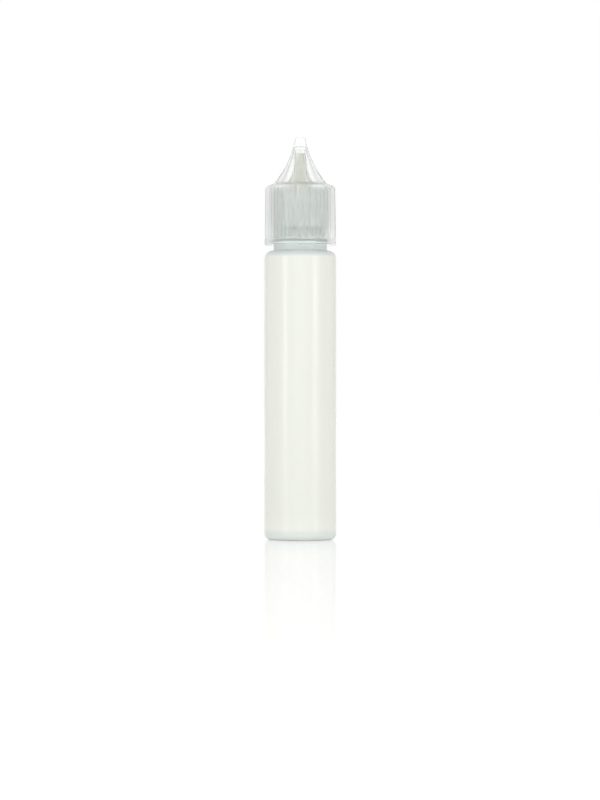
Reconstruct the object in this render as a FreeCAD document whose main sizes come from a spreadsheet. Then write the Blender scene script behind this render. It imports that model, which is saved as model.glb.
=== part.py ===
import FreeCAD, Part
import os
import re
import Sketcher
from FreeCAD import Placement, Rotation, Vector

# Squeeze dropper bottle: a slim bottle of soft polyethylene, a dropper plug pressed into its neck
# and a clear two-layer cap that screws on and lifts off. All lengths are in millimetres.
# The origin is the centre of the base, on the surface that the bottle stands on, and +Z is up.

# Driving sizes of the bottle.
BOTTLE_SIZES = {
    "body_radius": 11.0,
    "body_height": 88.0,
    "body_wall": 0.7,
    "base_wall": 1.5,
    "shoulder_wall": 1.5,
    "heel_round": 1.8,
    "inner_heel_round": 2.4,
    "shoulder_round": 2.2,
    "shoulder_rise": 0.2,
    "foot_width": 1.8,
    "base_dome": 1.6,
    "shoulder_width": 2.85,
    "collar_height": 3.0,
    "collar_edge": 0.2,
    "groove_step": 0.2,
    "groove_height": 1.6,
    "bead_step": 0.95,
    "bead_height": 0.9,
    "bead_slope": 0.5,
    "neck_step": 1.25,
    "neck_height": 15.0,
    "neck_wall": 1.3,
    "rim_edge": 0.25,
}

# Screw thread between the neck and the inner cap: one right-handed start.
THREAD_SIZES = {
    "thread_pitch": 3.0,
    "thread_turns": 1.35,
    "thread_depth": 0.7,
    "thread_root_width": 1.3,
    "thread_crest_width": 0.7,
    "thread_drop": 6.1,
    "thread_mesh": 1.25,
    "thread_play": 0.35,
}

# Dropper plug: its skirt is pressed into the neck bore and its flange sits on the neck's rim.
PLUG_SIZES = {
    "plug_skirt_length": 6.0,
    "plug_skirt_wall": 0.85,
    "plug_slip": 0.05,
    "plug_bead": 0.15,
    "plug_bead_height": 0.8,
    "flange_inset": 0.2,
    "flange_height": 1.0,
    "cone_inset": 0.4,
    "cone_height": 6.0,
    "cone_sag": 0.5,
    "nozzle_foot_wall": 0.65,
    "nozzle_wall": 0.45,
    "nozzle_length": 7.7,
    "orifice_radius": 0.6,
    "orifice_length": 2.0,
    "channel_radius": 0.85,
    "hollow_height": 5.0,
    "hollow_sag": 0.45,
    "nozzle_edge": 0.15,
}

# Inner cap: threaded skirt, shoulder with drive lugs and a closed snout over the nozzle.
INNER_CAP_SIZES = {
    "inner_wall": 1.25,
    "inner_top": 1.1,
    "inner_edge": 0.3,
    "flange_gap": 0.3,
    "snout_foot_wall": 1.1,
    "snout_bend_wall": 0.5,
    "snout_bend_height": 9.6,
    "snout_wall": 0.28,
    "snout_sag": 0.9,
    "snout_round": 0.35,
    "snout_roof": 1.1,
    "nozzle_gap": 0.2,
    "cavity_foot_gap": 0.6,
    "cavity_flare": 0.15,
    "cavity_bend_height": 9.5,
    "nozzle_play": 0.3,
    "cavity_sag": 0.7,
    "pin_gap": 0.15,
    "pin_taper": 0.1,
    "pin_length": 1.0,
}

# Drive lugs that mesh when the outer cap is pushed down on the inner cap.
LUG_SIZES = {
    "lug_count": 24,
    "lug_width": 0.75,
    "lug_reach": 0.25,
    "lug_inset": 0.2,
    "inner_lug_height": 0.75,
    "outer_lug_height": 0.7,
    "lug_gap": 0.15,
}

# Outer cap: ribbed skirt with a smooth lip, concave cone and solid tip.
OUTER_CAP_SIZES = {
    "cap_gap": 0.25,
    "ledge_wall": 1.05,
    "ledge_width": 1.3,
    "lip_gap": 1.8,
    "skirt_wall": 0.85,
    "skirt_flare": 0.2,
    "lip_step": 0.45,
    "lip_height": 1.9,
    "lip_round": 0.5,
    "lip_edge": 0.3,
    "tip_length": 2.9,
    "tip_taper": 0.65,
    "tip_round": 0.4,
    "tip_wall": 0.4,
    "shell_cone_foot": 0.65,
    "shell_cone_sag": 0.62,
    "roof_cone_gap": 1.2,
    "roof_cone_sag": 0.75,
    "roof_play": 0.12,
    "roof_gap": 0.85,
    "roof_wall": 2.85,
    "roof_dome": 0.4,
    "stop_bead_depth": 0.5,
    "stop_bead_height": 1.3,
    "stop_bead_gap": 0.3,
    "stop_bead_slope": 0.45,
}

# Ribs round the outer cap's skirt.
RIB_SIZES = {
    "rib_count": 45,
    "rib_depth": 0.35,
    "rib_root_width": 1.0,
    "rib_crest_width": 0.5,
    "rib_sink": 0.25,
}

# Tamper band: a loose ring under the inner cap, with thin bridges up to its skirt.
BAND_SIZES = {
    "band_gap": 0.25,
    "band_height": 2.95,
    "band_play": 0.2,
    "band_clearance": 0.3,
    "catch_gap": 0.35,
    "catch_foot": 0.2,
    "catch_height": 0.9,
    "catch_slope": 0.3,
    "bridge_count": 8,
    "bridge_width": 0.5,
    "bridge_depth": 0.4,
    "bridge_height": 0.5,
}

# One overrun serves every cut and every root that sinks into its wall.
SHARED_SIZES = {"overrun": 0.3}

SIZES = {
    **BOTTLE_SIZES,
    **THREAD_SIZES,
    **PLUG_SIZES,
    **INNER_CAP_SIZES,
    **LUG_SIZES,
    **OUTER_CAP_SIZES,
    **RIB_SIZES,
    **BAND_SIZES,
    **SHARED_SIZES,
}

# Heights that several pieces share, each worked out from the sizes above.
SHOULDER_TOP = "(body_height + shoulder_rise)"
COLLAR_TOP = "(body_height + collar_height)"
GROOVE_TOP = f"({COLLAR_TOP} + groove_height)"
BEAD_TOP = f"({GROOVE_TOP} + bead_height)"
RIM = "(body_height + neck_height)"
FLANGE_TOP = f"({RIM} + flange_height)"
CONE_TOP = f"({FLANGE_TOP} + cone_height)"
NOZZLE_TOP = f"({CONE_TOP} + nozzle_length)"
BAND_FOOT = f"({COLLAR_TOP} + band_gap)"
BAND_TOP = f"({BAND_FOOT} + band_height)"
SKIRT_FOOT = f"({BAND_TOP} + bridge_height)"
CEILING = f"({FLANGE_TOP} + flange_gap)"
INNER_SHOULDER = f"({CEILING} + inner_top)"
INNER_LUG_TOP = f"({INNER_SHOULDER} + inner_lug_height)"
OUTER_LUG_FOOT = f"({INNER_LUG_TOP} + lug_gap)"
ROOF = f"({OUTER_LUG_FOOT} + outer_lug_height)"
LEDGE = f"({ROOF} + ledge_wall)"
LIP_FOOT = "(body_height + lip_gap)"
LIP_TOP = f"({LIP_FOOT} + lip_height)"
CAVITY_TOP = f"({NOZZLE_TOP} + nozzle_gap)"
SNOUT_TOP = f"({CAVITY_TOP} + snout_roof)"
DOME_FOOT = f"({SNOUT_TOP} + roof_gap)"
TIP = f"({DOME_FOOT} + roof_wall)"
THREAD_START = f"({RIM} - thread_drop)"

# Radii that several pieces share: each follows its neighbour through a wall, a step or a clearance.
COLLAR_RADIUS = "(body_radius - shoulder_width)"
NECK_RADIUS = f"({COLLAR_RADIUS} - neck_step)"
NECK_BORE = f"({NECK_RADIUS} - neck_wall)"
GROOVE_RADIUS = f"({NECK_RADIUS} + groove_step)"
BEAD_RADIUS = f"({NECK_RADIUS} + bead_step)"
PLUG_BORE = f"({NECK_BORE} - plug_slip - plug_skirt_wall)"
CONE_RADIUS = f"({PLUG_BORE} - cone_inset)"
NOZZLE_RADIUS = "(orifice_radius + nozzle_wall)"
CAVITY_RADIUS = f"({NOZZLE_RADIUS} + nozzle_play)"
CAVITY_FOOT_RADIUS = f"({CONE_RADIUS} + cavity_foot_gap)"
SNOUT_RADIUS = f"({CAVITY_RADIUS} + snout_wall)"
SNOUT_FOOT_RADIUS = f"({CAVITY_FOOT_RADIUS} + snout_foot_wall)"
INNER_BORE = f"({NECK_RADIUS} + thread_depth + thread_play)"
INNER_RADIUS = f"({INNER_BORE} + inner_wall)"
LUG_RADIUS = f"({INNER_BORE} - lug_reach)"
OUTER_BORE = f"({INNER_RADIUS} + cap_gap)"
STOP_BEAD_RADIUS = f"({OUTER_BORE} - stop_bead_depth)"

LEFT, RIGHT = 1, -1

doc = FreeCAD.newDocument("squeeze_dropper_bottle")
sheet = doc.addObject("Spreadsheet::Sheet", "sizes")
for row, (name, size) in enumerate(SIZES.items(), start=1):
    sheet.set(f"A{row}", name)
    sheet.set(f"B{row}", str(size))
    sheet.setAlias(f"B{row}", name)
doc.recompute()


def bound(formula):
    """The formula with each size that it names read from the sheet."""
    return re.sub("[a-z_]+", lambda word: "sizes." + word[0] if word[0] in SIZES else word[0], formula)


def value(formula):
    return float(sheet.evalExpression(formula))


def sag_radius(start, end, sag):
    """Radius of the arc from start to end that stands off its chord by sag."""
    chord_squared = f"(({end[0]} - {start[0]})^2 + ({end[1]} - {start[1]})^2)"
    return f"({chord_squared} / (8 * {sag}) + {sag} / 2)"


def dome_radius(radius, rise):
    """Radius of a dome centred on the axis, as wide as radius and as deep as rise."""
    return f"(({radius}^2 + {rise}^2) / (2 * {rise}))"


def origin_feature(body, role):
    return next(feature for feature in body.Origin.OriginFeatures if feature.Role == role)


def new_body(name):
    body = doc.addObject("PartDesign::Body", name)
    body.Label = name
    return body


def tie(sketch, constraint, formula):
    """Add a constraint whose value follows a formula of the sheet's sizes."""
    index = sketch.addConstraint(constraint)
    sketch.setExpression(f"Constraints[{index}]", bound(formula))


def tie_point(sketch, edge, end, corner):
    for kind, axis, formula in (("DistanceX", -2, corner[0]), ("DistanceY", -1, corner[1])):
        if formula == "0":
            sketch.addConstraint(Sketcher.Constraint("PointOnObject", edge, end, axis))
        else:
            tie(sketch, Sketcher.Constraint(kind, -1, 1, edge, end, value(formula)), formula)


def arc_through(start, end, side, radius):
    """The short arc from start to end that bulges to the left or right of the way there."""
    chord = end - start
    half = chord.Length / 2
    sag = radius - (radius**2 - half**2) ** 0.5
    bulge = Vector(-chord.y, chord.x, 0).normalize() * sag * side
    return Part.Arc(start, start + chord / 2 + bulge, end)


def draw(sketch, corners):
    """Draw a closed outline. A corner is (x, y), or (x, y, side, radius) where an arc leaves it."""
    places = [Vector(value(corner[0]), value(corner[1]), 0) for corner in corners]
    ends = []
    for edge, corner in enumerate(corners):
        start, end = places[edge], places[(edge + 1) % len(corners)]
        if len(corner) == 2:
            sketch.addGeometry(Part.LineSegment(start, end))
        else:
            sketch.addGeometry(arc_through(start, end, corner[2], value(corner[3])))
        starts_first = (sketch.getPoint(edge, 1) - start).Length < (sketch.getPoint(edge, 2) - start).Length
        ends.append((1, 2) if starts_first else (2, 1))
    for edge, corner in enumerate(corners):
        follower = (edge + 1) % len(corners)
        joined = edge, ends[edge][1], follower, ends[follower][0]
        sketch.addConstraint(Sketcher.Constraint("Coincident", *joined))
        tie_point(sketch, edge, ends[edge][0], corner)
        if len(corner) > 2:
            tie(sketch, Sketcher.Constraint("Radius", edge, value(corner[3])), corner[3])


def section(body, name, corners):
    """A sketch on the body's upright plane: x is the distance from the axis and y the height."""
    sketch = body.newObject("Sketcher::SketchObject", name)
    sketch.AttachmentSupport = (origin_feature(body, "XZ_Plane"), [""])
    sketch.MapMode = "FlatFace"
    draw(sketch, corners)
    return sketch


def revolve(body, name, corners, kind="PartDesign::Revolution"):
    sketch = section(body, name + "_section", corners)
    turned = body.newObject(kind, name)
    turned.Profile = sketch
    turned.ReferenceAxis = (sketch, ["V_Axis"])
    turned.Angle = 360
    return turned


def upright_ring(body, name, corners, foot, height, count, turn="0"):
    """A prism drawn at x > 0, from the height foot upwards, and repeated count times round the axis."""
    sketch = body.newObject("Sketcher::SketchObject", name + "_section")
    sketch.AttachmentSupport = (origin_feature(body, "XY_Plane"), [""])
    sketch.MapMode = "FlatFace"
    sketch.AttachmentOffset = Placement(Vector(0, 0, value(foot)), Rotation(Vector(0, 0, 1), value(turn)))
    sketch.setExpression("AttachmentOffset.Base.z", bound(foot))
    if turn != "0":
        sketch.setExpression("AttachmentOffset.Rotation.Angle", bound(turn))
    draw(sketch, corners)
    prism = body.newObject("PartDesign::Pad", name)
    prism.Profile = sketch
    prism.setExpression("Length", bound(height))
    ring = body.newObject("PartDesign::PolarPattern", name + "_ring")
    ring.Originals = [prism]
    ring.Axis = (origin_feature(body, "Z_Axis"), [""])
    ring.Angle = 360
    ring.setExpression("Occurrences", bound(count))
    body.Tip = ring
    return ring


def bar(inner, outer, width):
    """Corners of a bar that runs outwards along x."""
    low, high = f"(0 - {width} / 2)", f"({width} / 2)"
    return [(inner, low), (outer, low), (outer, high), (inner, high)]


def screw_thread(body, name, root, crest, middle):
    """A helical ridge whose section narrows from its root radius to its crest radius."""
    root_half, crest_half = "thread_root_width / 2", "thread_crest_width / 2"
    corners = [
        (root, f"({middle} - {root_half})"),
        (crest, f"({middle} - {crest_half})"),
        (crest, f"({middle} + {crest_half})"),
        (root, f"({middle} + {root_half})"),
    ]
    sketch = section(body, name + "_section", corners)
    thread = body.newObject("PartDesign::AdditiveHelix", name)
    thread.Profile = sketch
    thread.ReferenceAxis = (sketch, ["V_Axis"])
    thread.Mode = "pitch-turns-angle"
    thread.Angle = 0
    thread.setExpression("Pitch", "sizes.thread_pitch")
    thread.setExpression("Turns", "sizes.thread_turns")
    return thread


def make_bottle_body():
    """Blown bottle: thick domed base, thin straight body, thick shoulder and threaded neck."""
    inner = "(body_radius - body_wall)"
    inner_shoulder = "(body_height - shoulder_wall)"
    inner_shoulder_round = "(shoulder_round - body_wall)"
    foot_end = f"({inner} - inner_heel_round)"
    foot_inner = "(body_radius - heel_round - foot_width)"
    base_radius = dome_radius(foot_inner, "base_dome")
    corners = [
        ("0", "base_dome", LEFT, base_radius),
        (foot_inner, "0"),
        ("(body_radius - heel_round)", "0", RIGHT, "heel_round"),
        ("body_radius", "heel_round"),
        ("body_radius", "(body_height - shoulder_round)", RIGHT, "shoulder_round"),
        ("(body_radius - shoulder_round)", "body_height"),
        (COLLAR_RADIUS, SHOULDER_TOP),
        (COLLAR_RADIUS, f"({COLLAR_TOP} - collar_edge)"),
        (f"({COLLAR_RADIUS} - collar_edge)", COLLAR_TOP),
        (GROOVE_RADIUS, COLLAR_TOP),
        (GROOVE_RADIUS, GROOVE_TOP),
        (BEAD_RADIUS, GROOVE_TOP),
        (BEAD_RADIUS, f"({BEAD_TOP} - bead_slope)"),
        (NECK_RADIUS, BEAD_TOP),
        (NECK_RADIUS, f"({RIM} - rim_edge)"),
        (f"({NECK_RADIUS} - rim_edge)", RIM),
        (NECK_BORE, RIM),
        (NECK_BORE, inner_shoulder),
        (f"({inner} - {inner_shoulder_round})", inner_shoulder, LEFT, inner_shoulder_round),
        (inner, f"({inner_shoulder} - {inner_shoulder_round})"),
        (inner, "(base_wall + inner_heel_round)", LEFT, "inner_heel_round"),
        (foot_end, "base_wall"),
        (foot_inner, "base_wall", RIGHT, base_radius),
        ("0", "(base_dome + base_wall)"),
    ]
    body = new_body("bottle_body")
    revolve(body, "bottle_wall", corners)
    root = f"({NECK_RADIUS} - overrun)"
    body.Tip = screw_thread(body, "neck_thread", root, f"({NECK_RADIUS} + thread_depth)", THREAD_START)
    return body


def make_dropper_plug():
    """Plug with two sealing beads on its skirt, a flange, and a hollow cone that ends in the nozzle."""
    skirt = f"({NECK_BORE} - plug_slip)"
    bead = f"({skirt} + plug_bead)"
    flange_outer = f"({NECK_RADIUS} - flange_inset)"
    nozzle_foot = "(channel_radius + nozzle_foot_wall)"
    foot = f"({RIM} - plug_skirt_length)"
    low_bead, high_bead = f"({foot} + plug_bead_height)", f"({RIM} - 3 * plug_bead_height)"
    cone_foot, cone_end = (CONE_RADIUS, FLANGE_TOP), (nozzle_foot, CONE_TOP)
    hollow_end = ("channel_radius", f"({RIM} + hollow_height)")
    hollow_foot = (PLUG_BORE, RIM)
    orifice_foot = f"({NOZZLE_TOP} - orifice_length)"
    corners = [
        (PLUG_BORE, foot),
        (skirt, foot),
        (skirt, low_bead),
        (bead, f"({low_bead} + plug_bead_height / 2)"),
        (skirt, f"({low_bead} + plug_bead_height)"),
        (skirt, high_bead),
        (bead, f"({high_bead} + plug_bead_height / 2)"),
        (skirt, f"({high_bead} + plug_bead_height)"),
        (skirt, RIM),
        (flange_outer, RIM),
        (flange_outer, FLANGE_TOP),
        (*cone_foot, LEFT, sag_radius(cone_foot, cone_end, "cone_sag")),
        cone_end,
        (NOZZLE_RADIUS, f"({NOZZLE_TOP} - nozzle_edge)"),
        (f"({NOZZLE_RADIUS} - nozzle_edge)", NOZZLE_TOP),
        ("orifice_radius", NOZZLE_TOP),
        ("orifice_radius", orifice_foot),
        (*hollow_end, RIGHT, sag_radius(hollow_end, hollow_foot, "hollow_sag")),
        hollow_foot,
    ]
    body = new_body("dropper_plug")
    revolve(body, "plug_wall", corners)
    return body


def make_inner_cap():
    """Threaded cap with a sealing pin under its snout's roof and a ring of drive lugs on its shoulder."""
    cavity_flared = f"({CAVITY_RADIUS} + cavity_flare)"
    bend = (f"({cavity_flared} + snout_bend_wall)", f"({INNER_SHOULDER} + snout_bend_height)")
    snout_foot = (SNOUT_FOOT_RADIUS, INNER_SHOULDER)
    cavity_foot = (CAVITY_FOOT_RADIUS, CEILING)
    cavity_bend = (cavity_flared, f"({CEILING} + cavity_bend_height)")
    pin, pin_foot = "(orifice_radius - pin_gap)", f"({CAVITY_TOP} - pin_length)"
    corners = [
        ("0", SNOUT_TOP),
        (f"({SNOUT_RADIUS} - snout_round)", SNOUT_TOP, LEFT, "snout_round"),
        (SNOUT_RADIUS, f"({SNOUT_TOP} - snout_round)"),
        (*bend, RIGHT, sag_radius(bend, snout_foot, "snout_sag")),
        snout_foot,
        (f"({INNER_RADIUS} - inner_edge)", INNER_SHOULDER),
        (INNER_RADIUS, f"({INNER_SHOULDER} - inner_edge)"),
        (INNER_RADIUS, SKIRT_FOOT),
        (INNER_BORE, SKIRT_FOOT),
        (INNER_BORE, CEILING),
        (*cavity_foot, LEFT, sag_radius(cavity_foot, cavity_bend, "cavity_sag")),
        cavity_bend,
        (CAVITY_RADIUS, CAVITY_TOP),
        (pin, CAVITY_TOP),
        (f"({pin} - pin_taper)", pin_foot),
        ("0", pin_foot),
    ]
    body = new_body("inner_cap")
    revolve(body, "inner_wall", corners)
    screw_thread(
        body,
        "cap_thread",
        f"({INNER_BORE} + overrun)",
        f"({INNER_BORE} - thread_depth)",
        f"({THREAD_START} - thread_mesh)",
    )
    lug = bar(LUG_RADIUS, f"({INNER_RADIUS} - lug_inset)", "lug_width")
    lug_foot = f"({INNER_SHOULDER} - overrun)"
    lug_height, half_pitch = "inner_lug_height + overrun", "180 / lug_count"
    upright_ring(body, "inner_lug", lug, lug_foot, lug_height, "lug_count", half_pitch)
    return body


def make_outer_cap():
    """Clear overshell: solid tip, concave cone, ribbed skirt with a smooth lip, and a bead inside it."""
    skirt_top = f"({OUTER_BORE} + skirt_wall)"
    skirt_foot = f"({skirt_top} + skirt_flare)"
    lip = f"({skirt_foot} + lip_step)"
    roof_side = f"({SNOUT_RADIUS} + roof_play)"
    tip_side = f"({roof_side} + tip_wall)"
    tip_top = f"({tip_side} - tip_taper)"
    tip_foot = (tip_side, f"({TIP} - tip_length)")
    cone_foot = (f"({OUTER_BORE} - ledge_width)", f"({LEDGE} + shell_cone_foot)")
    stop_top = f"({SKIRT_FOOT} - stop_bead_gap)"
    stop_foot = f"({stop_top} - stop_bead_height)"
    roof_foot = (f"({SNOUT_FOOT_RADIUS} + roof_cone_gap)", ROOF)
    dome_foot = (roof_side, DOME_FOOT)
    corners = [
        ("0", TIP),
        (f"({tip_top} - tip_round)", TIP, LEFT, "tip_round"),
        (tip_top, f"({TIP} - tip_round)"),
        (*tip_foot, RIGHT, sag_radius(tip_foot, cone_foot, "shell_cone_sag")),
        cone_foot,
        (OUTER_BORE, LEDGE, LEFT, "skirt_wall"),
        (skirt_top, f"({LEDGE} - skirt_wall)"),
        (skirt_foot, LIP_TOP),
        (lip, LIP_TOP),
        (lip, f"({LIP_FOOT} + lip_round)", LEFT, "lip_round"),
        (f"({lip} - lip_round)", LIP_FOOT),
        (f"({OUTER_BORE} + lip_edge)", LIP_FOOT),
        (OUTER_BORE, f"({LIP_FOOT} + lip_edge)"),
        (OUTER_BORE, stop_foot),
        (STOP_BEAD_RADIUS, f"({stop_foot} + stop_bead_slope)"),
        (STOP_BEAD_RADIUS, f"({stop_top} - stop_bead_slope)"),
        (OUTER_BORE, stop_top),
        (OUTER_BORE, ROOF),
        (*roof_foot, LEFT, sag_radius(roof_foot, dome_foot, "roof_cone_sag")),
        (*dome_foot, RIGHT, dome_radius(roof_side, "roof_dome")),
        ("0", f"({DOME_FOOT} + roof_dome)"),
    ]
    body = new_body("outer_cap")
    revolve(body, "shell_wall", corners)
    root = f"({skirt_top} - rib_sink)"
    crest = f"({skirt_foot} + rib_depth + overrun)"
    rib = [
        (root, "(0 - rib_root_width / 2)"),
        (crest, "(0 - rib_crest_width / 2)"),
        (crest, "(rib_crest_width / 2)"),
        (root, "(rib_root_width / 2)"),
    ]
    upright_ring(body, "rib", rib, LIP_TOP, f"{LEDGE} - {LIP_TOP}", "rib_count")
    rib_round = "(skirt_wall + rib_depth)"
    waste = [
        (f"({skirt_foot} + rib_depth)", LIP_TOP),
        (f"({skirt_top} + rib_depth)", f"({LEDGE} - {rib_round})", LEFT, rib_round),
        (OUTER_BORE, LEDGE),
        (OUTER_BORE, f"({LEDGE} + overrun)"),
        (f"({crest} + overrun)", f"({LEDGE} + overrun)"),
        (f"({crest} + overrun)", LIP_TOP),
    ]
    revolve(body, "rib_draft", waste, "PartDesign::Groove")
    lug = bar(LUG_RADIUS, f"({OUTER_BORE} + overrun)", "lug_width")
    upright_ring(body, "outer_lug", lug, OUTER_LUG_FOOT, "outer_lug_height + overrun", "lug_count")
    return body


def make_tamper_band():
    """Loose ring whose catch sits under the neck's bead, with thin bridges up to the inner cap."""
    catch_foot = f"({BAND_FOOT} + catch_height)"
    band_outer = f"({STOP_BEAD_RADIUS} - band_play)"
    band_inner = f"({BEAD_RADIUS} + band_clearance)"
    catch_inner = f"({GROOVE_RADIUS} + catch_gap)"
    corners = [
        (band_outer, BAND_FOOT),
        (band_outer, BAND_TOP),
        (band_inner, BAND_TOP),
        (band_inner, f"({catch_foot} + catch_slope)"),
        (catch_inner, catch_foot),
        (catch_inner, f"({BAND_FOOT} + catch_foot)"),
        (f"({catch_inner} + catch_foot)", BAND_FOOT),
    ]
    body = new_body("tamper_band")
    revolve(body, "band_wall", corners)
    middle = f"(({band_inner} + {band_outer}) / 2)"
    bridge = bar(f"({middle} - bridge_depth / 2)", f"({middle} + bridge_depth / 2)", "bridge_width")
    bridge_foot = f"({BAND_TOP} - overrun)"
    upright_ring(body, "bridge", bridge, bridge_foot, "bridge_height + overrun", "bridge_count")
    return body


pieces = [
    make_bottle_body(),
    make_dropper_plug(),
    make_inner_cap(),
    make_outer_cap(),
    make_tamper_band(),
]
doc.recompute()

# Nothing is written unless every object was made without an error and every piece is one sound solid.
for item in doc.Objects:
    if "Invalid" in item.State or "Error" in item.State:
        raise RuntimeError(f"{item.Name} failed: {item.State}")
for piece in pieces:
    if piece.Shape.isNull() or not piece.Shape.isValid() or len(piece.Shape.Solids) != 1:
        raise RuntimeError(f"{piece.Label} is not one valid solid")

os.makedirs("parts", exist_ok=True)
for piece in pieces:
    piece.Shape.exportStep(f"parts/{piece.Label}.step")
    print(piece.Label, round(piece.Shape.Volume, 1), "mm3")
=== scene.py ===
import bmesh
import bpy
import math
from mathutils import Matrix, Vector


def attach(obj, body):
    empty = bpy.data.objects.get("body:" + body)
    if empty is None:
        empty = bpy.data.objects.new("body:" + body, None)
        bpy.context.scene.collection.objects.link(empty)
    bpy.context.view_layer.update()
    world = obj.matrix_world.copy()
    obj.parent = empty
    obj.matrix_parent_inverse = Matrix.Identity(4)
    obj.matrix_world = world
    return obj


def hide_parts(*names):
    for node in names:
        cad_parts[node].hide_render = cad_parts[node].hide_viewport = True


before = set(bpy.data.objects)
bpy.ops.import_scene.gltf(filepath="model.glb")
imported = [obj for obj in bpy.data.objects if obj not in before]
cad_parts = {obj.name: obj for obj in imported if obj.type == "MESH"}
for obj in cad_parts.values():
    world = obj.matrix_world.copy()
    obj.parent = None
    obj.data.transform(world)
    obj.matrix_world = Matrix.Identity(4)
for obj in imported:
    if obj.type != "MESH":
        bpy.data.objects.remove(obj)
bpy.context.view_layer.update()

# Squeeze dropper bottle: a milky bottle, the dropper plug in its neck, an inner and an outer cap, and the
# tamper band under the inner cap. A profile is a list of corners in millimetres: distance from the axis,
# height above the base, and how far the corner is rounded off. The heights in the materials are millimetres
# above the base too. The stage is in metres.

MM = 0.001
NEAR = 0.001  # millimetres; closer than this is the same place
MARGIN = 0.01  # millimetres; wider than the meshes' rounding errors

TURN_STEPS = 192  # facets round a plain turned piece
ROUNDING_STEPS = 4  # facets across a rounded corner
SHARP_FROM = 40  # degrees between two faces that meet at a real edge

RIBS = 45
RIB_DEPTH = 0.35
COLUMNS_PER_RIB = 8  # facets across a rib
RIB_COLUMNS = RIBS * COLUMNS_PER_RIB
LUGS = 24
BRIDGES = 8

THREAD_PITCH = 3.0
THREAD_TURNS = 1.35
THREAD_ROOT_WIDTH = 1.3
THREAD_CREST_WIDTH = 0.7
THREAD_STEPS = 96  # facets in a full turn
THREAD_RUN_OUT = 0.45  # radians over which each end sinks into the wall


# ---------------------------------------------------------------- shape helpers

def arc(start, end, sag, points):
    """Points of a shallow arc from start to end, both left out, that stands sag off its chord to the left."""
    (x0, z0), (x1, z1) = start, end
    length = math.hypot(x1 - x0, z1 - z0)
    normal = (-(z1 - z0) / length, (x1 - x0) / length)
    made = []
    for step in range(1, points):
        share = step / points
        lift = 4 * sag * share * (1 - share)
        made.append((x0 + (x1 - x0) * share + normal[0] * lift, z0 + (z1 - z0) * share + normal[1] * lift, 0))
    return made


def turned(corners, closed=False, steps=TURN_STEPS):
    """A bmesh of a wire profile, with its corners rounded, spun all the way round the upright axis."""
    bm = bmesh.new()
    verts = [bm.verts.new((radius * MM, 0, height * MM)) for radius, height, _ in corners]
    for pair in zip(verts, verts[1:] + verts[:1] if closed else verts[1:]):
        bm.edges.new(pair)
    for vert, (_, _, rounding) in zip(verts, corners):
        if rounding:
            bmesh.ops.bevel(
                bm, geom=[vert], offset=rounding * MM, offset_type="OFFSET", segments=ROUNDING_STEPS,
                profile=0.5, affect="VERTICES", material=-1,
            )
    bmesh.ops.spin(
        bm, geom=bm.verts[:] + bm.edges[:], cent=(0, 0, 0), axis=(0, 0, 1), dvec=(0, 0, 0), angle=math.tau,
        steps=steps, use_merge=True, use_duplicate=False,
    )
    return bm


def closed_up(bm):
    """Merge the doubles at the seams and poles, and turn every face outwards."""
    bmesh.ops.remove_doubles(bm, verts=bm.verts[:], dist=0.0005 * MM)
    bmesh.ops.dissolve_degenerate(bm, dist=0.0001 * MM, edges=bm.edges[:])
    bmesh.ops.recalc_face_normals(bm, faces=bm.faces[:])


def mesh_of(name, bm):
    """The bmesh as a mesh, and the bmesh let go."""
    mesh = bpy.data.meshes.new(name)
    bm.to_mesh(mesh)
    bm.free()
    return mesh


def placed(name, data):
    """An object in the scene for a mesh, a lamp or the camera."""
    thing = bpy.data.objects.new(name, data)
    bpy.context.scene.collection.objects.link(thing)
    return thing


def finished(name, bm):
    """The piece's object: smooth shading, sharp only where faces meet at a real edge."""
    mesh = mesh_of(name, bm)
    mesh.shade_smooth()
    mesh.set_sharp_from_angle(angle=math.radians(SHARP_FROM))
    piece = placed(name, mesh)
    weighted = piece.modifiers.new("even_shading", "WEIGHTED_NORMAL")
    weighted.keep_sharp = True
    return piece


def raised(bm, radii, height, columns, repeat, lift, turn=0, steps=TURN_STEPS):
    """Raise blocks by lift out of the flat ring of faces between two radii: repeat blocks, columns facets wide.

    The first block starts turn degrees round the axis.
    """
    pitch = math.tau / repeat
    width = columns * math.tau / steps
    chosen = []
    for face in bm.faces:
        middle = face.calc_center_median() / MM
        radius = math.hypot(middle.x, middle.y)
        if abs(middle.z - height) < NEAR and radii[0] < radius < radii[1]:
            if (math.atan2(middle.y, middle.x) - math.radians(turn)) % pitch < width:
                chosen.append(face)
    made = bmesh.ops.extrude_face_region(bm, geom=chosen)["geom"]
    tops = [part for part in made if isinstance(part, bmesh.types.BMVert)]
    bmesh.ops.delete(bm, geom=chosen, context="FACES")
    bmesh.ops.translate(bm, verts=tops, vec=(0, 0, lift * MM))


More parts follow.
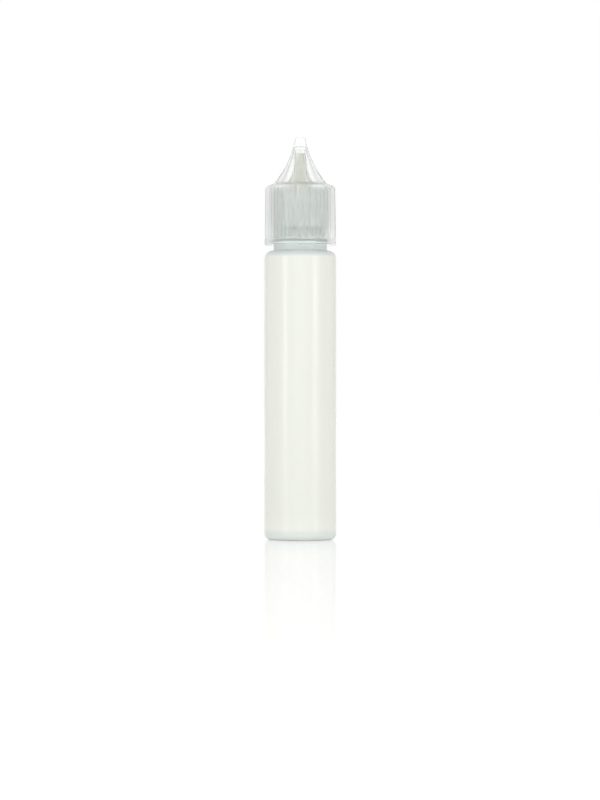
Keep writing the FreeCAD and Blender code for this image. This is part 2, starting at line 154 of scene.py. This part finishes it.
def thread_ridge(root, crest, middle):
    """A helical ridge between two radii, whose ends run out into the wall that it stands on.

    Middle is the height of its centre line where it starts.
    """
    bm = bmesh.new()
    root_half, crest_half = THREAD_ROOT_WIDTH / 2, THREAD_CREST_WIDTH / 2
    outline = [
        (root, middle - root_half), (crest, middle - crest_half),
        (crest, middle + crest_half), (root, middle + root_half),
    ]
    face = bm.faces.new([bm.verts.new((radius * MM, 0, height * MM)) for radius, height in outline])
    steps = round(THREAD_STEPS * THREAD_TURNS)
    total = math.tau * THREAD_TURNS
    bmesh.ops.spin(
        bm, geom=[face] + face.edges[:] + face.verts[:], cent=(0, 0, 0), axis=(0, 0, 1),
        dvec=(0, 0, THREAD_PITCH * THREAD_TURNS / steps * MM), angle=total, steps=steps, use_duplicate=False,
    )
    bmesh.ops.holes_fill(bm, edges=[edge for edge in bm.edges if edge.is_boundary], sides=4)
    for vert in bm.verts:
        x, y, z = vert.co / MM
        # how far along the ridge this point lies, from its height and the way it faces
        around = math.atan2(y, x) % math.tau
        climb = (z - middle) / THREAD_PITCH * math.tau
        along = around + math.tau * round((climb - around) / math.tau)
        fade = max(0.0, min(1.0, along / THREAD_RUN_OUT, (total - along) / THREAD_RUN_OUT))
        radius = math.hypot(x, y)
        target = root + (radius - root) * fade
        vert.co.x *= target / radius
        vert.co.y *= target / radius
    closed_up(bm)
    return bm


def joined(wall, ridge):
    """One closed skin round the wall and the ridge that stands on it."""
    both = [placed("wall", mesh_of("wall", wall)), placed("ridge", mesh_of("ridge", ridge))]
    union = both[0].modifiers.new("union", "BOOLEAN")
    union.operation, union.solver, union.object = "UNION", "EXACT", both[1]
    united = both[0].evaluated_get(bpy.context.evaluated_depsgraph_get())
    bm = bmesh.new()
    bm.from_mesh(united.to_mesh())
    united.to_mesh_clear()
    for part in both:
        bpy.data.objects.remove(part)
    closed_up(bm)
    return bm


# ---------------------------------------------------------------- material helpers

def linear(code):
    """Linear colour of an sRGB hex code."""
    parts = [int(code[at:at + 2], 16) / 255 for at in (1, 3, 5)]
    return (*[part / 12.92 if part <= 0.04045 else ((part + 0.055) / 1.055) ** 2.4 for part in parts], 1)


def add(tree, kind, settings=(), links=()):
    """Add a node: settings name its attributes or sockets, links feed its sockets."""
    node = tree.nodes.new(kind)
    for name, value in dict(settings).items():
        if isinstance(name, str) and hasattr(node, name):
            setattr(node, name, value)
        else:
            node.inputs[name].default_value = value
    for name, source in dict(links).items():
        tree.links.new(source, node.inputs[name])
    return node


def value_by_height(tree, place, low, high):
    """A value that changes evenly between two heights: low and high are (height, value)."""
    parts = add(tree, "ShaderNodeSeparateXYZ", {}, {0: place.outputs["Object"]})
    return add(
        tree, "ShaderNodeMapRange",
        {"From Min": low[0] * MM, "From Max": high[0] * MM, "To Min": low[1], "To Max": high[1]},
        {"Value": parts.outputs["Z"]},
    ).outputs[0]


def colour_by_height(tree, place, foot, top, stops):
    """A colour that changes between the heights foot and top: stops are (height, hex code)."""
    up = value_by_height(tree, place, (foot, 0), (top, 1))
    colours = add(tree, "ShaderNodeValToRGB", {}, {"Fac": up})
    ramp = colours.color_ramp
    while len(ramp.elements) < len(stops):
        ramp.elements.new(0.5)
    for element, (at, code) in zip(ramp.elements, stops):
        element.position, element.color = (at - foot) / (top - foot), linear(code)
    return colours.outputs["Color"]


def moulding_flow(tree, shader, place, waves_per_metre, strength, depth):
    """Shallow waves that the plastic freezes into as it flows through its mould. Their depth is in metres."""
    flow = add(
        tree, "ShaderNodeTexNoise", {"Scale": waves_per_metre, "Detail": 1.0}, {"Vector": place.outputs["Object"]},
    )
    bump = add(tree, "ShaderNodeBump", {"Strength": strength, "Distance": depth}, {"Height": flow.outputs[0]})
    tree.links.new(bump.outputs[0], shader.inputs["Normal"])


def slant_shade_tint(tree, shader, plain, slanted_shade, start, end):
    """Painted shade on clear plastic: its colour turns grey where its faces slant away from the view, where light
    has the longest way through it, which draws a grey outline.
    """
    slant = add(tree, "ShaderNodeLayerWeight", {"Blend": 0.5})
    edge = add(tree, "ShaderNodeMapRange", {"From Min": start, "From Max": end}, {"Value": slant.outputs["Facing"]})
    outline_shade = add(tree, "ShaderNodeMix", {"data_type": "RGBA", 6: linear(plain)}, {0: edge.outputs[0], 7: slanted_shade})
    tree.links.new(outline_shade.outputs[2], shader.inputs["Base Color"])


def plastic(name, colour, **sockets):
    """A material with one Principled shader: the material, its tree, its shader and its coordinates."""
    material = bpy.data.materials.new(name)
    material.use_nodes = True
    tree = material.node_tree
    tree.nodes.clear()
    shader = add(tree, "ShaderNodeBsdfPrincipled", {"Base Color": linear(colour), **sockets})
    add(tree, "ShaderNodeOutputMaterial", {}, {"Surface": shader.outputs[0]})
    return material, tree, shader, add(tree, "ShaderNodeTexCoord")


# ---------------------------------------------------------------- materials

def natural_polyethylene():
    # Low-density polyethylene, blow-moulded and undyed: milky and waxy with a satin skin. The thin barrel is
    # creamy, and the thick neck, shoulder and base are painted darker and cooler: a painted shade for the light
    # that is lost in the thick plastic there.
    material, tree, shader, place = plastic(
        "ldpe_blow_moulded_natural", "#F3F5EC", Roughness=0.26, IOR=1.51, **{"Transmission Weight": 0.16},
    )
    # painted shade: the colour turns darker and cooler by height round the base and up the shoulder and neck
    wall = colour_by_height(tree, place, 0, 100, (
        (0.4, "#F6FAF7"), (2.0, "#EAF0EB"), (3.6, "#F9FBF2"), (8.0, "#F6F8EF"), (86.1, "#F6F8EF"),
        (86.8, "#DEE5E4"), (88.4, "#DBE3E1"), (90.0, "#E4EBEA"),
    ))
    tree.links.new(wall, shader.inputs["Base Color"])
    # the parison stretches lengthways as it is blown, so the slow waves in the wall run up and down:
    # about 4 mm across and 30 mm long
    stretch = add(tree, "ShaderNodeMapping", {"Scale": (1, 1, 0.12)}, {"Vector": place.outputs["Object"]})
    waves = add(tree, "ShaderNodeTexNoise", {"Scale": 260.0, "Detail": 1.5}, {"Vector": stretch.outputs[0]})
    slow = add(tree, "ShaderNodeBump", {"Strength": 0.25, "Distance": 0.0004}, {"Height": waves.outputs[0]})
    # fine blasted texture of the mould, about 0.15 mm
    grain = add(tree, "ShaderNodeTexNoise", {"Scale": 6500.0, "Detail": 2.0}, {"Vector": place.outputs["Object"]})
    fine = add(
        tree, "ShaderNodeBump", {"Strength": 0.12, "Distance": 0.00002},
        {"Height": grain.outputs[0], "Normal": slow.outputs[0]},
    )
    tree.links.new(fine.outputs[0], shader.inputs["Normal"])
    return material


def plug_polyethylene():
    # The same polyethylene, injection-moulded: its wall is denser and lets no light through, and it has a
    # softer gloss, with waves about 1 mm long.
    material, tree, shader, place = plastic("ldpe_injection_moulded_natural", "#F7F8F1", Roughness=0.34, IOR=1.51)
    moulding_flow(tree, shader, place, waves_per_metre=900.0, strength=0.15, depth=0.00005)
    return material


def cloudy_polypropylene(name):
    # Undyed polypropylene, injection-moulded: cool grey-green. Its skirt is thick and cloudy, so the neck
    # inside blurs away, and its thin snout is only milky. Its IOR is a little under the usual 1.49, which
    # keeps what is inside as plain to see as it is in the photograph. Its waves are about 3 mm long.
    material, tree, shader, place = plastic(name, "#F5F9F7", IOR=1.4)
    moulding_flow(tree, shader, place, waves_per_metre=350.0, strength=0.2, depth=0.00008)
    wall = colour_by_height(tree, place, 90, 125, ((105.5, "#F8FBF9"), (108.5, "#FBFCF9")))
    tree.links.new(wall, shader.inputs["Base Color"])
    for socket, skirt, snout in (("Roughness", 0.5, 0.14), ("Transmission Weight", 0.6, 0.84)):
        tree.links.new(value_by_height(tree, place, (106.2, skirt), (108.0, snout)), shader.inputs[socket])
    return material


def clear_polystyrene():
    # Clear polystyrene, injection-moulded in a polished mould: glassy, with a faint cool haze. Its IOR is far
    # under the usual 1.59, because at that value the ribs and the cone bend the light so much that the inner
    # cap and the nozzle, which the photograph shows, are lost. The coat brings back the gloss. Its waves are
    # as long as the inner cap's and half as strong.
    material, tree, shader, place = plastic(
        "polystyrene_clear_moulded", "#FCFEFD", IOR=1.18,
        **{"Transmission Weight": 1.0, "Coat Weight": 0.4, "Coat Roughness": 0.06, "Coat IOR": 1.5},
    )
    moulding_flow(tree, shader, place, waves_per_metre=350.0, strength=0.1, depth=0.00008)
    # the ribbed skirt comes out of its mould a little matt, and the cone and tip are polished
    tree.links.new(value_by_height(tree, place, (108.2, 0.3), (108.8, 0.04)), shader.inputs["Roughness"])
    # the painted shade of the grey outline is darkest at the solid tip, the thickest part, and faintest at the lip
    # at the foot, the thinnest
    slanted_shade = colour_by_height(tree, place, 90, 125, (
        (91.8, "#EEF2F0"), (93.2, "#C3CAC6"), (108.3, "#BEC3BD"), (109.2, "#A6AAA3"), (115.0, "#A2A69E"),
        (118.5, "#34382F"),
    ))
    # painted shade: the colour turns grey where the faces slant away from the view, a painted outline
    slant_shade_tint(tree, shader, "#FEFFFE", slanted_shade, start=0.35, end=0.95)
    return material


# ---------------------------------------------------------------- pieces

def make_bottle():
    """Bottle with a domed base, a shoulder and a threaded neck: up the outside and back down the inside."""
    wall = turned([
        (0, 1.6, 0), *arc((0, 1.6), (7.4, 0.0), 0.4, 10), (7.4, 0.0, 0.5), (11.0, 0.0, 1.8),
        (11.0, 88.0, 2.2), (8.15, 88.2, 0.2), (8.15, 91.0, 0.2), (7.1, 91.0, 0.15), (7.1, 92.6, 0.15),
        (7.85, 92.6, 0.12), (7.85, 93.0, 0.15), (6.9, 93.5, 0.15), (6.9, 103.0, 0.3), (5.6, 103.0, 0.3),
        (5.6, 86.5, 0.9), (10.3, 86.5, 1.5), (10.3, 1.5, 2.4), (7.4, 1.5, 0.5),
        *arc((7.4, 1.5), (0, 3.1), -0.4, 10), (0, 3.1, 0),
    ])
    closed_up(wall)
    return finished("bottle_shell", joined(wall, thread_ridge(root=6.6, crest=7.6, middle=96.9)))


def make_plug():
    """Plug with two sealing beads round its skirt, a flange on the neck's rim and a nozzle."""
    bm = turned([
        (4.7, 97.0, 0.2), (5.55, 97.0, 0.3), (5.55, 97.8, 0), (5.7, 98.2, 0.1), (5.55, 98.6, 0),
        (5.55, 100.6, 0), (5.7, 101.0, 0.1), (5.55, 101.4, 0), (5.55, 103.0, 0.05), (6.7, 103.0, 0.15),
        (6.7, 104.0, 0.2), (4.3, 104.0, 0.3), *arc((4.3, 104.0), (1.5, 110.0), 0.5, 14), (1.5, 110.0, 0.2),
        (1.05, 117.7, 0.15), (0.6, 117.7, 0.08), (0.6, 115.7, 0), (0.85, 108.0, 0.2),
        *arc((0.85, 108.0), (4.7, 103.0), -0.45, 14), (4.7, 103.0, 0.3),
    ], closed=True)
    closed_up(bm)
    return finished("nozzle_plug", bm)


def make_inner_cap():
    """Threaded skirt, shoulder with lugs, and closed snout with the pin that seals the nozzle."""
    shoulder, lug_inside, lug_outside = 105.4, 7.7, 8.7
    wall = turned([
        (0, 119.0, 0), (1.63, 119.0, 0.35), (1.9, 115.9, 0), *arc((2.0, 115.0), (6.0, shoulder), -0.9, 20),
        (6.0, shoulder, 0.3), (lug_inside, shoulder, 0), (lug_outside, shoulder, 0), (9.2, shoulder, 0.3),
        (9.2, 94.7, 0.06), (7.95, 94.7, 0.06), (7.95, 104.3, 0.25), (4.9, 104.3, 0.3),
        *arc((4.9, 104.3), (1.5, 113.8), 0.7, 20), (1.5, 113.8, 0.5), (1.35, 117.9, 0.1), (0.45, 117.9, 0.1),
        (0.35, 116.9, 0.12), (0, 116.9, 0),
    ])
    closed_up(wall)
    raised(wall, (lug_inside, lug_outside), shoulder, columns=3, repeat=LUGS, lift=0.75, turn=5)
    return finished("inner_closure", joined(wall, thread_ridge(root=8.25, crest=7.25, middle=95.65)))


def ribbed(bm, bore, lip_top, skirt_foot, corner_centre):
    """Push the skirt's outside out into soft upright ribs, which run out over the rounded corner above it."""
    crests = [(1 + math.cos(math.tau * column / COLUMNS_PER_RIB)) / 2 for column in range(COLUMNS_PER_RIB)]
    for vert in bm.verts:
        x, y, z = vert.co / MM
        radius = math.hypot(x, y)
        if radius < NEAR:
            continue
        # the exact angle of the column that this point is in, and how far the rib stands out there
        column = round(math.atan2(y, x) / math.tau * RIB_COLUMNS) % RIB_COLUMNS
        angle, lift = math.tau * column / RIB_COLUMNS, RIB_DEPTH * crests[column % COLUMNS_PER_RIB]
        if bore + MARGIN < radius < skirt_foot + MARGIN and z > lip_top - MARGIN:
            tilt = max(0.0, math.atan2(z - corner_centre, radius - bore))
            radius += lift * math.cos(tilt)
            z -= lift * (1 - math.sin(tilt)) * (z > corner_centre - MARGIN)
        vert.co = Vector((radius * math.cos(angle), radius * math.sin(angle), z)) * MM


def make_outer_cap():
    """Ribbed skirt with a smooth lip, concave cone and solid tip, with lugs under its roof."""
    skirt_top, skirt_foot, bore, ledge, lip_top = 10.3, 10.5, 9.45, 108.05, 91.7
    roof, lug_inside, lug_outside = 107.0, 7.7, 9.25
    corner_round = skirt_top - bore
    corner_centre = ledge - corner_round
    # the quarter round between ledge and skirt, in points that the ribs can follow
    corner = [
        (bore + corner_round * math.cos(turn), corner_centre + corner_round * math.sin(turn), 0)
        for turn in [math.radians(90 - 15 * step) for step in range(1, 7)]
    ]
    bm = turned([
        (0, 122.7, 0), (1.5, 122.7, 0.4), (2.05, 120.2, 0), *arc((2.15, 119.8), (8.15, 108.7), -0.62, 24),
        (8.15, 108.7, 0.25), (bore, ledge, 0), *corner, (skirt_foot, lip_top, 0), (10.95, lip_top, 0.15),
        (10.95, 89.8, 0.45), (bore, 89.8, 0.3), (bore, 92.4, 0.4), (8.95, 93.3, 0.3), (8.95, 93.8, 0.3),
        (bore, 94.7, 0.4), (bore, roof, 0), (lug_outside, roof, 0), (lug_inside, roof, 0), (7.2, roof, 0.2),
        *arc((7.2, roof), (1.75, 119.85), 0.75, 24), (1.75, 119.85, 0.1), (1.3, 120.04, 0), (0.7, 120.19, 0),
        (0, 120.25, 0),
    ], steps=RIB_COLUMNS)
    closed_up(bm)
    raised(bm, (lug_inside, lug_outside), roof, columns=5, repeat=LUGS, lift=-0.7, turn=-3, steps=RIB_COLUMNS)
    closed_up(bm)
    ribbed(bm, bore, lip_top, skirt_foot, corner_centre)
    return finished("ribbed_overcap", bm)


def make_band():
    """Ring with a catch under the neck's bead and thin bridges on its top."""
    top, bridge_inside, bridge_outside = 94.5, 8.35, 8.55
    bm = turned([
        (8.75, 91.25, 0.12), (8.75, top, 0.06), (bridge_outside, top, 0), (bridge_inside, top, 0),
        (8.15, top, 0.06), (8.15, 92.45, 0.1), (7.45, 92.15, 0.1), (7.45, 91.45, 0.08), (7.65, 91.25, 0.08),
    ], closed=True)
    closed_up(bm)
    raised(bm, (bridge_inside, bridge_outside), top, columns=2, repeat=BRIDGES, lift=0.19)
    return finished("tamper_ring", bm)


for make, node, body, slot, material in (
    (make_bottle, "bottle_body", "bottle", "natural_polyethylene", natural_polyethylene()),
    (make_plug, "dropper_plug", "bottle", "plug_polyethylene", plug_polyethylene()),
    (make_inner_cap, "inner_cap", "screw_cap", "clear_inner_cap", cloudy_polypropylene("polypropylene_cloudy_cap")),
    (make_outer_cap, "outer_cap", "cap_shell", "clear_outer_cap", clear_polystyrene()),
    (make_band, "tamper_band", "band", "clear_tamper_band", cloudy_polypropylene("polypropylene_cloudy_band")),
):
    piece = make()
    piece.data.materials.append(material)
    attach(piece, body)
    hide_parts(node)


# ---------------------------------------------------------------- stage

def backdrop_rays(tree):
    """One for rays from the camera, mirrored rays and rays through clear plastic, which all see the backdrop."""
    path = add(tree, "ShaderNodeLightPath").outputs
    either = {"operation": "MAXIMUM"}
    straight = add(tree, "ShaderNodeMath", either, {0: path["Is Camera Ray"], 1: path["Is Transmission Ray"]})
    return add(tree, "ShaderNodeMath", either, {0: straight.outputs[0], 1: path["Is Glossy Ray"]}).outputs[0]


def make_floor():
    """Pale glossy sheet: white to the camera, with a soft mirror image and the bottle's shadow."""
    half_side = 6.0
    # the mirror image fades out with the distance from the bottle; a stronger one gets a hard line across it
    mirror_share, mirror_reach = 0.47, 0.8
    # the sheet is lit a little less evenly behind the bottle, which its glow makes up for over one metre
    near_glow, far_glow = 0.75, 0.82
    # what the camera sees takes the shadow, and what lights the bottle from below is a plain matt sheet
    shadowed, matt_grey, mirror_blur = (0.3, 0.3, 0.3, 1), (0.8, 0.8, 0.8, 1), 0.06

    bm = bmesh.new()
    bmesh.ops.create_grid(bm, x_segments=1, y_segments=1, size=half_side)
    floor = placed("floor", mesh_of("floor", bm))
    material = bpy.data.materials.new("acrylic_sheet_white")
    material.use_nodes = True
    tree = material.node_tree
    tree.nodes.clear()
    place = add(tree, "ShaderNodeTexCoord")
    away = add(tree, "ShaderNodeVectorMath", {"operation": "LENGTH"}, {0: place.outputs["Object"]}).outputs["Value"]
    mirror = add(
        tree, "ShaderNodeMapRange",
        {"From Min": 0.0, "From Max": mirror_reach, "To Min": mirror_share, "To Max": 0.0}, {"Value": away},
    )
    level = add(
        tree, "ShaderNodeMapRange", {"From Max": 1.0, "To Min": near_glow, "To Max": far_glow}, {"Value": away},
    )
    glow = add(tree, "ShaderNodeEmission", {"Color": linear("#FFFFFF")}, {"Strength": level.outputs[0]})
    shaded = add(tree, "ShaderNodeBsdfDiffuse", {"Color": shadowed})
    white = add(tree, "ShaderNodeAddShader", {}, {0: glow.outputs[0], 1: shaded.outputs[0]})
    gloss = add(tree, "ShaderNodeBsdfGlossy", {"Color": linear("#FFFFFF"), "Roughness": mirror_blur})
    seen = add(tree, "ShaderNodeMixShader", {}, {0: mirror.outputs[0], 1: white.outputs[0], 2: gloss.outputs[0]})
    matt = add(tree, "ShaderNodeBsdfDiffuse", {"Color": matt_grey})
    chosen = add(
        tree, "ShaderNodeMixShader", {}, {0: backdrop_rays(tree), 1: matt.outputs[0], 2: seen.outputs[0]},
    )
    add(tree, "ShaderNodeOutputMaterial", {}, {"Surface": chosen.outputs[0]})
    floor.data.materials.append(material)


def carded_white(tree):
    """White all round, with four soft grey cards halfway between front, sides and back that edge clear plastic."""
    # the square of x times y is 0 towards the front, sides and back, and 0.25 halfway between them
    card_edge, card_middle, card_level = 0.17, 0.25, 0.6
    way = add(tree, "ShaderNodeTexCoord")
    parts = add(tree, "ShaderNodeSeparateXYZ", {}, {0: way.outputs["Generated"]}).outputs
    skew = add(tree, "ShaderNodeMath", {"operation": "MULTIPLY"}, {0: parts["X"], 1: parts["Y"]})
    card = add(tree, "ShaderNodeMath", {"operation": "MULTIPLY"}, {0: skew.outputs[0], 1: skew.outputs[0]})
    lit = add(
        tree, "ShaderNodeMapRange",
        {"From Min": card_edge, "From Max": card_middle, "To Min": 1.0, "To Max": card_level},
        {"Value": card.outputs[0]},
    )
    path = add(tree, "ShaderNodeLightPath")
    return add(
        tree, "ShaderNodeMath", {"operation": "MAXIMUM"}, {0: lit.outputs[0], 1: path.outputs["Is Camera Ray"]},
    ).outputs[0]


def make_world():
    """Light tent: an even soft light on the bottle, and a white backdrop that it stands in front of."""
    tent_level = 0.79
    world = bpy.data.worlds.new("light_tent")
    bpy.context.scene.world = world
    world.use_nodes = True
    tree = world.node_tree
    tree.nodes.clear()
    soft = add(tree, "ShaderNodeBackground", {"Color": linear("#FFFFFF"), "Strength": tent_level})
    white = add(tree, "ShaderNodeBackground", {"Color": linear("#FFFFFF")}, {"Strength": carded_white(tree)})
    chosen = add(tree, "ShaderNodeMixShader", {}, {0: backdrop_rays(tree), 1: soft.outputs[0], 2: white.outputs[0]})
    add(tree, "ShaderNodeOutputWorld", {}, {"Surface": chosen.outputs[0]})


def make_softbox(name, place, width, height, power):
    """A rectangular lamp that faces the middle of the bottle."""
    light = bpy.data.lights.new(name, "AREA")
    light.shape, light.size, light.size_y, light.energy = "RECTANGLE", width, height, power
    lamp = placed(name, light)
    middle = Vector((0, 0, 0.06))
    lamp.location = place
    lamp.rotation_euler = (middle - Vector(place)).to_track_quat("-Z", "Y").to_euler()


def make_camera():
    """A long lens, level and straight on, so that the base and the lip show almost as straight lines."""
    lens = bpy.data.cameras.new("camera")
    lens.sensor_width, lens.lens, lens.clip_start = 36, 125.2, 0.01
    camera = placed("camera", lens)
    camera.location = (-0.0001, -0.85, 0.0426)
    camera.rotation_euler = (math.pi / 2, 0, 0)
    bpy.context.scene.camera = camera


make_floor()
make_world()
for name, place, width, height, power in (
    ("left_softbox", (-0.6, -0.52, 0.25), 0.18, 0.5, 1.2),
    ("right_softbox", (0.6, -0.52, 0.25), 0.18, 0.5, 1.2),
    ("front_softbox", (0, -1.25, 0.42), 1.0, 0.6, 1.8),
):
    make_softbox(name, place, width, height, power)
make_camera()
bpy.context.scene.view_settings.view_transform = "Standard"
# light crosses up to ten clear and milky walls here before it leaves, and the usual limits would turn it black
paths = bpy.context.scene.cycles
paths.max_bounces, paths.transmission_bounces, paths.diffuse_bounces, paths.glossy_bounces = 48, 48, 16, 16
